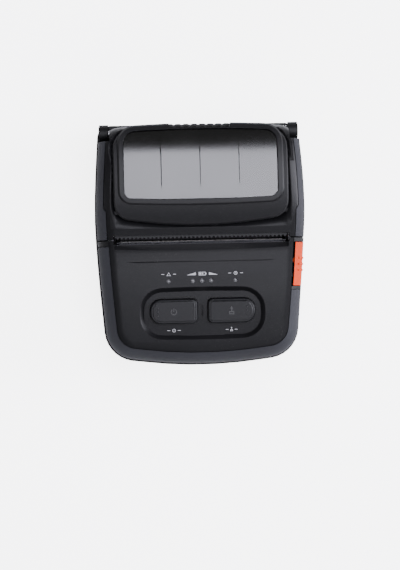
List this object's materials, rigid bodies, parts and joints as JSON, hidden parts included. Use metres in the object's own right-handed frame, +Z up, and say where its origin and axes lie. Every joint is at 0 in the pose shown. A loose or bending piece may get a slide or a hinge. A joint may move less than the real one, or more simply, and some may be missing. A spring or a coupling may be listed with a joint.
{
  "type": "portable label printer",
  "caption": "Hand-held label printer with a hinged windowed lid, a roll bay, a tear-off slot, two keys, an orange side release and a drop-in battery.",
  "frame": {"origin": "centre of the outline at the level of the underside", "axes": "+Y along the printer from the key end to the hinge end, +Z up out of the lid, +X to the right as the keys are read"},
  "size_m": [0.1044, 0.1199, 0.06],
  "materials": {
    "black_plastic": "fine grained black plastic",
    "charcoal_plastic": "fine grained charcoal plastic",
    "grey_rubber": "satin grey moulded elastomer",
    "orange_plastic": "satin orange plastic",
    "smoke_window": "polished smoke-tinted clear plastic",
    "button_rubber": "satin dark grey plastic",
    "steel": "plain bright steel",
    "aluminium": "milled aluminium",
    "gear_nylon": "natural white nylon",
    "platen_rubber": "ground black rubber",
    "circuit_green": "solder mask over glass board",
    "clear_lens": "clear light pipe",
    "brass": "plated contact metal",
    "head_ceramic": "glazed ceramic strip",
    "bearing_white": "white acetal"
  },
  "bodies": {
    "base": {"lower_case": "black_plastic", "front_cover": "charcoal_plastic", "front_bumper": "grey_rubber", "chassis": "steel", "chassis_screw_left": "steel", "chassis_screw_right": "steel", "tear_bar": "steel", "head_spring_left": "steel", "head_spring_right": "steel", "drive_motor": "steel", "hinge_pin": "steel", "lid_spring": "steel", "latch_spring": "steel", "media_tray": "black_plastic", "media_sensor": "black_plastic", "main_board": "circuit_green", "key_board": "circuit_green", "light_guide": "clear_lens", "battery_terminal": "brass", "data_socket": "steel", "power_socket": "black_plastic", "case_screw_1": "steel", "case_screw_2": "steel", "case_screw_3": "steel", "case_screw_4": "steel"},
    "lid": {"lid_frame": "charcoal_plastic", "lid_panel": "charcoal_plastic", "lid_window": "smoke_window", "lid_strip_left": "grey_rubber", "lid_strip_right": "grey_rubber", "platen_holder": "black_plastic", "platen_bush_left": "bearing_white", "platen_bush_right": "bearing_white", "holder_screw_left": "steel", "holder_screw_right": "steel"},
    "platen": {"platen_roller": "platen_rubber", "platen_shaft": "steel", "platen_gear": "gear_nylon"},
    "lower_gear": {"lower_gear": "gear_nylon"},
    "upper_gear": {"upper_gear": "gear_nylon"},
    "motor": {"motor_pinion": "gear_nylon"},
    "latch": {"latch_shaft": "steel", "latch_hook_left": "steel", "latch_hook_right": "steel"},
    "release": {"release_button": "orange_plastic"},
    "power": {"power_button": "button_rubber"},
    "feed": {"feed_button": "button_rubber"},
    "head": {"head_plate": "aluminium", "print_head": "head_ceramic"},
    "guide_left": {"media_guide_left": "button_rubber"},
    "guide_right": {"media_guide_right": "button_rubber"},
    "guide_gear": {"guide_pinion": "gear_nylon"},
    "battery": {"battery_pack": "black_plastic"},
    "battery_latch": {"battery_catch": "charcoal_plastic"},
    "port_flap": {"port_cover": "grey_rubber"}
  },
  "joints": [
    {"name": "lid_hinge", "type": "hinge", "parent": "base", "child": "lid", "pos_m": [0, 0.0552, 0.0385], "axis": [-1, 0, 0], "range_deg": [0, 95]},
    {"name": "platen_turn", "type": "hinge", "parent": "lid", "child": "platen", "pos_m": [0, 0.0072, 0.043], "axis": [1, 0, 0], "continuous": true},
    {"name": "lower_gear_turn", "type": "hinge", "parent": "base", "child": "lower_gear", "pos_m": [-0.0452, 0.00601, 0.03166], "axis": [1, 0, 0], "continuous": true},
    {"name": "upper_gear_turn", "type": "hinge", "parent": "base", "child": "upper_gear", "pos_m": [-0.0452, -0.00456, 0.03391], "axis": [1, 0, 0], "continuous": true},
    {"name": "motor_turn", "type": "hinge", "parent": "base", "child": "motor", "pos_m": [-0.0452, -0.01267, 0.03608], "axis": [1, 0, 0], "continuous": true},
    {"name": "latch_turn", "type": "hinge", "parent": "base", "child": "latch", "pos_m": [0, -0.003, 0.031], "axis": [1, 0, 0], "range_deg": [0, 8], "stiffness_Nm_per_rad": 0.3},
    {"name": "release_slide", "type": "slide", "parent": "base", "child": "release", "axis": [-0.7071, 0, -0.7071], "range_m": [0, 0.0016]},
    {"name": "power_press", "type": "slide", "parent": "base", "child": "power", "axis": [0, 0.1665, -0.986], "range_m": [0, 0.001], "stiffness_N_per_m": 300},
    {"name": "feed_press", "type": "slide", "parent": "base", "child": "feed", "axis": [0, 0.1665, -0.986], "range_m": [0, 0.001], "stiffness_N_per_m": 300},
    {"name": "head_tilt", "type": "hinge", "parent": "base", "child": "head", "pos_m": [0, -0.00095, 0.0355], "axis": [1, 0, 0], "range_deg": [0, 1.2], "stiffness_Nm_per_rad": 2},
    {"name": "guide_left_slide", "type": "slide", "parent": "base", "child": "guide_left", "axis": [1, 0, 0], "range_m": [0, 0.016]},
    {"name": "guide_right_slide", "type": "slide", "parent": "base", "child": "guide_right", "axis": [1, 0, 0], "range_m": [-0.0175, 0]},
    {"name": "guide_gear_turn", "type": "hinge", "parent": "base", "child": "guide_gear", "pos_m": [0, 0.027, 0.004], "axis": [0, 0, 1], "range_deg": [-178, 0]},
    {"name": "battery_slide", "type": "slide", "parent": "base", "child": "battery", "axis": [0, 0, -1], "range_m": [0, 0.022]},
    {"name": "battery_catch_slide", "type": "slide", "parent": "base", "child": "battery_latch", "axis": [0, 1, 0], "range_m": [0, 0.001]},
    {"name": "port_cover_hinge", "type": "hinge", "parent": "base", "child": "port_flap", "pos_m": [-0.05069, -0.014, 0.0115], "axis": [0.0692, -0.9976, 0], "range_deg": [0, 110]}
  ],
  "couplings": [
    {"joint": "lower_gear_turn", "follows": "platen_turn", "ratio": -0.9},
    {"joint": "upper_gear_turn", "follows": "platen_turn", "ratio": 1.125},
    {"joint": "motor_turn", "follows": "platen_turn", "ratio": -1.5},
    {"joint": "release_slide", "follows": "latch_turn", "m_per_rad": 0.00859},
    {"joint": "guide_right_slide", "follows": "guide_left_slide", "ratio": -1},
    {"joint": "guide_gear_turn", "follows": "guide_left_slide", "rad_per_m": -178.57}
  ]
}
